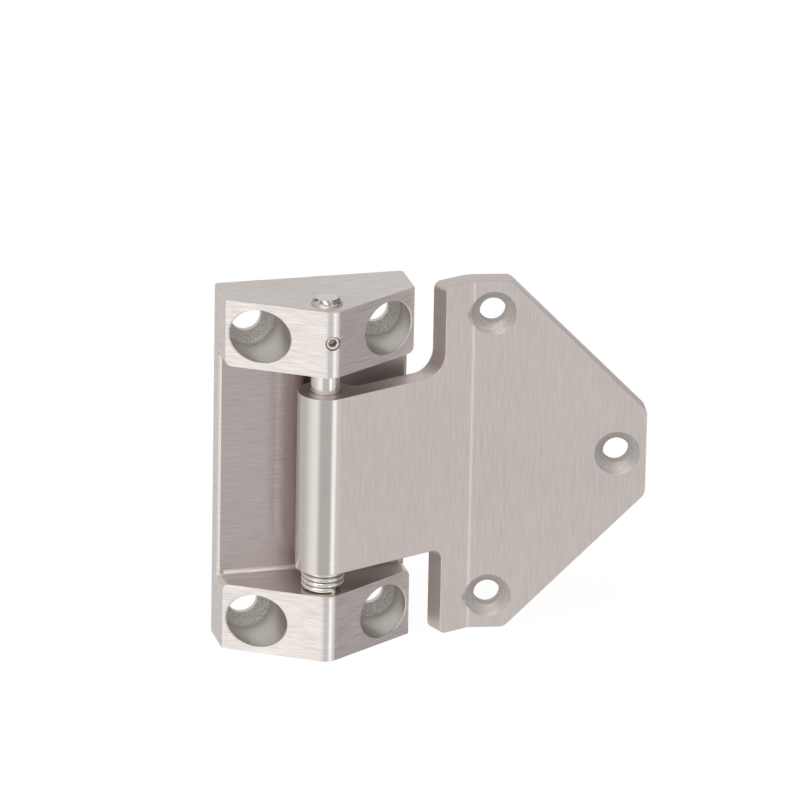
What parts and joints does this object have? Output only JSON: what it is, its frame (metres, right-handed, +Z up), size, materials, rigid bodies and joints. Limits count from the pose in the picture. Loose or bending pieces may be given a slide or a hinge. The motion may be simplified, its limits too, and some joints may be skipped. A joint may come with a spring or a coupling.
{
  "type": "spring hinge",
  "caption": "Heavy cabinet spring hinge: steel bracket with two slanted lugs, long pin, coiled spring and a cranked leaf with clipped corners.",
  "frame": {"origin": "foot of the bracket, in the middle of its back face", "axes": "+Z up along the hinge pin, +Y into the surface that the bracket is screwed to, +X across the bracket towards the leaf"},
  "size_m": [0.1167, 0.0288, 0.1016],
  "materials": {
    "satin_steel": "satin, brushed across",
    "leaf_steel": "satin, brushed upright",
    "bright_steel": "smooth, bright",
    "spring_steel": "smooth drawn wire"
  },
  "bodies": {
    "bracket_body": {"bracket": "satin_steel", "hinge_pin": "bright_steel", "pin_screw": "bright_steel", "torsion_spring": "spring_steel"},
    "leaf_body": {"leaf": "leaf_steel"}
  },
  "joints": [
    {"name": "leaf_turn", "type": "hinge", "parent": "bracket_body", "child": "leaf_body", "pos_m": [0, -0.021, 0.05], "axis": [0, 0, -1], "range_deg": [-10.5, 213], "stiffness_Nm_per_rad": 0.065, "deforming": ["torsion_spring"]}
  ]
}
